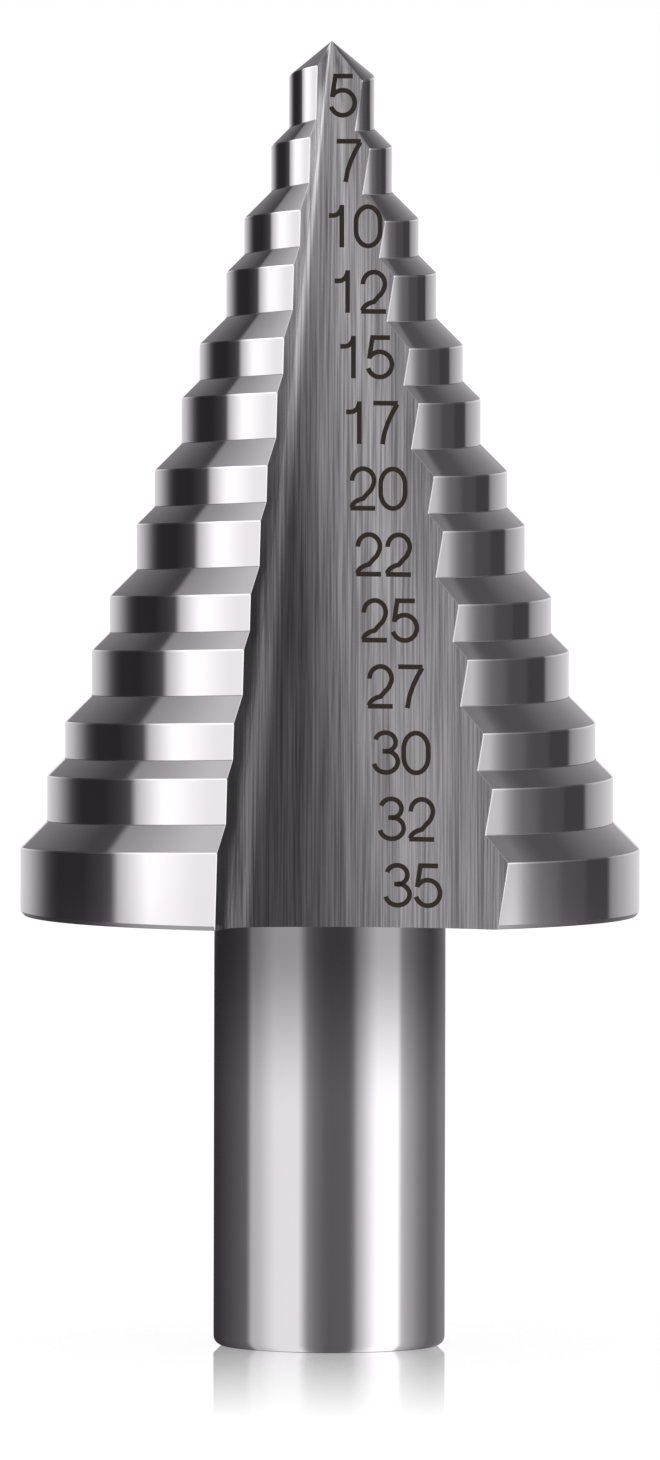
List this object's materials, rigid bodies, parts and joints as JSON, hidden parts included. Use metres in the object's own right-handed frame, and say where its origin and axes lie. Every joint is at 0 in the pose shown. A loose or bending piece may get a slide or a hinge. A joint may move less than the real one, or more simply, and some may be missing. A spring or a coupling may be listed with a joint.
{
  "type": "step drill",
  "caption": "Conical step drill with two straight flutes, stepped cutting lands, a ground point and a plain round shank.",
  "frame": {"origin": "centre of the shank's end face, on which the drill stands", "axes": "+Z along the axis towards the point; -Y towards the viewer of the picture, who looks into one flute"},
  "size_m": [0.0348, 0.0326, 0.0732],
  "materials": {
    "ground_steel": "bright ground high-speed steel"
  },
  "bodies": {
    "root": {"step_drill": "ground_steel"}
  },
  "joints": []
}
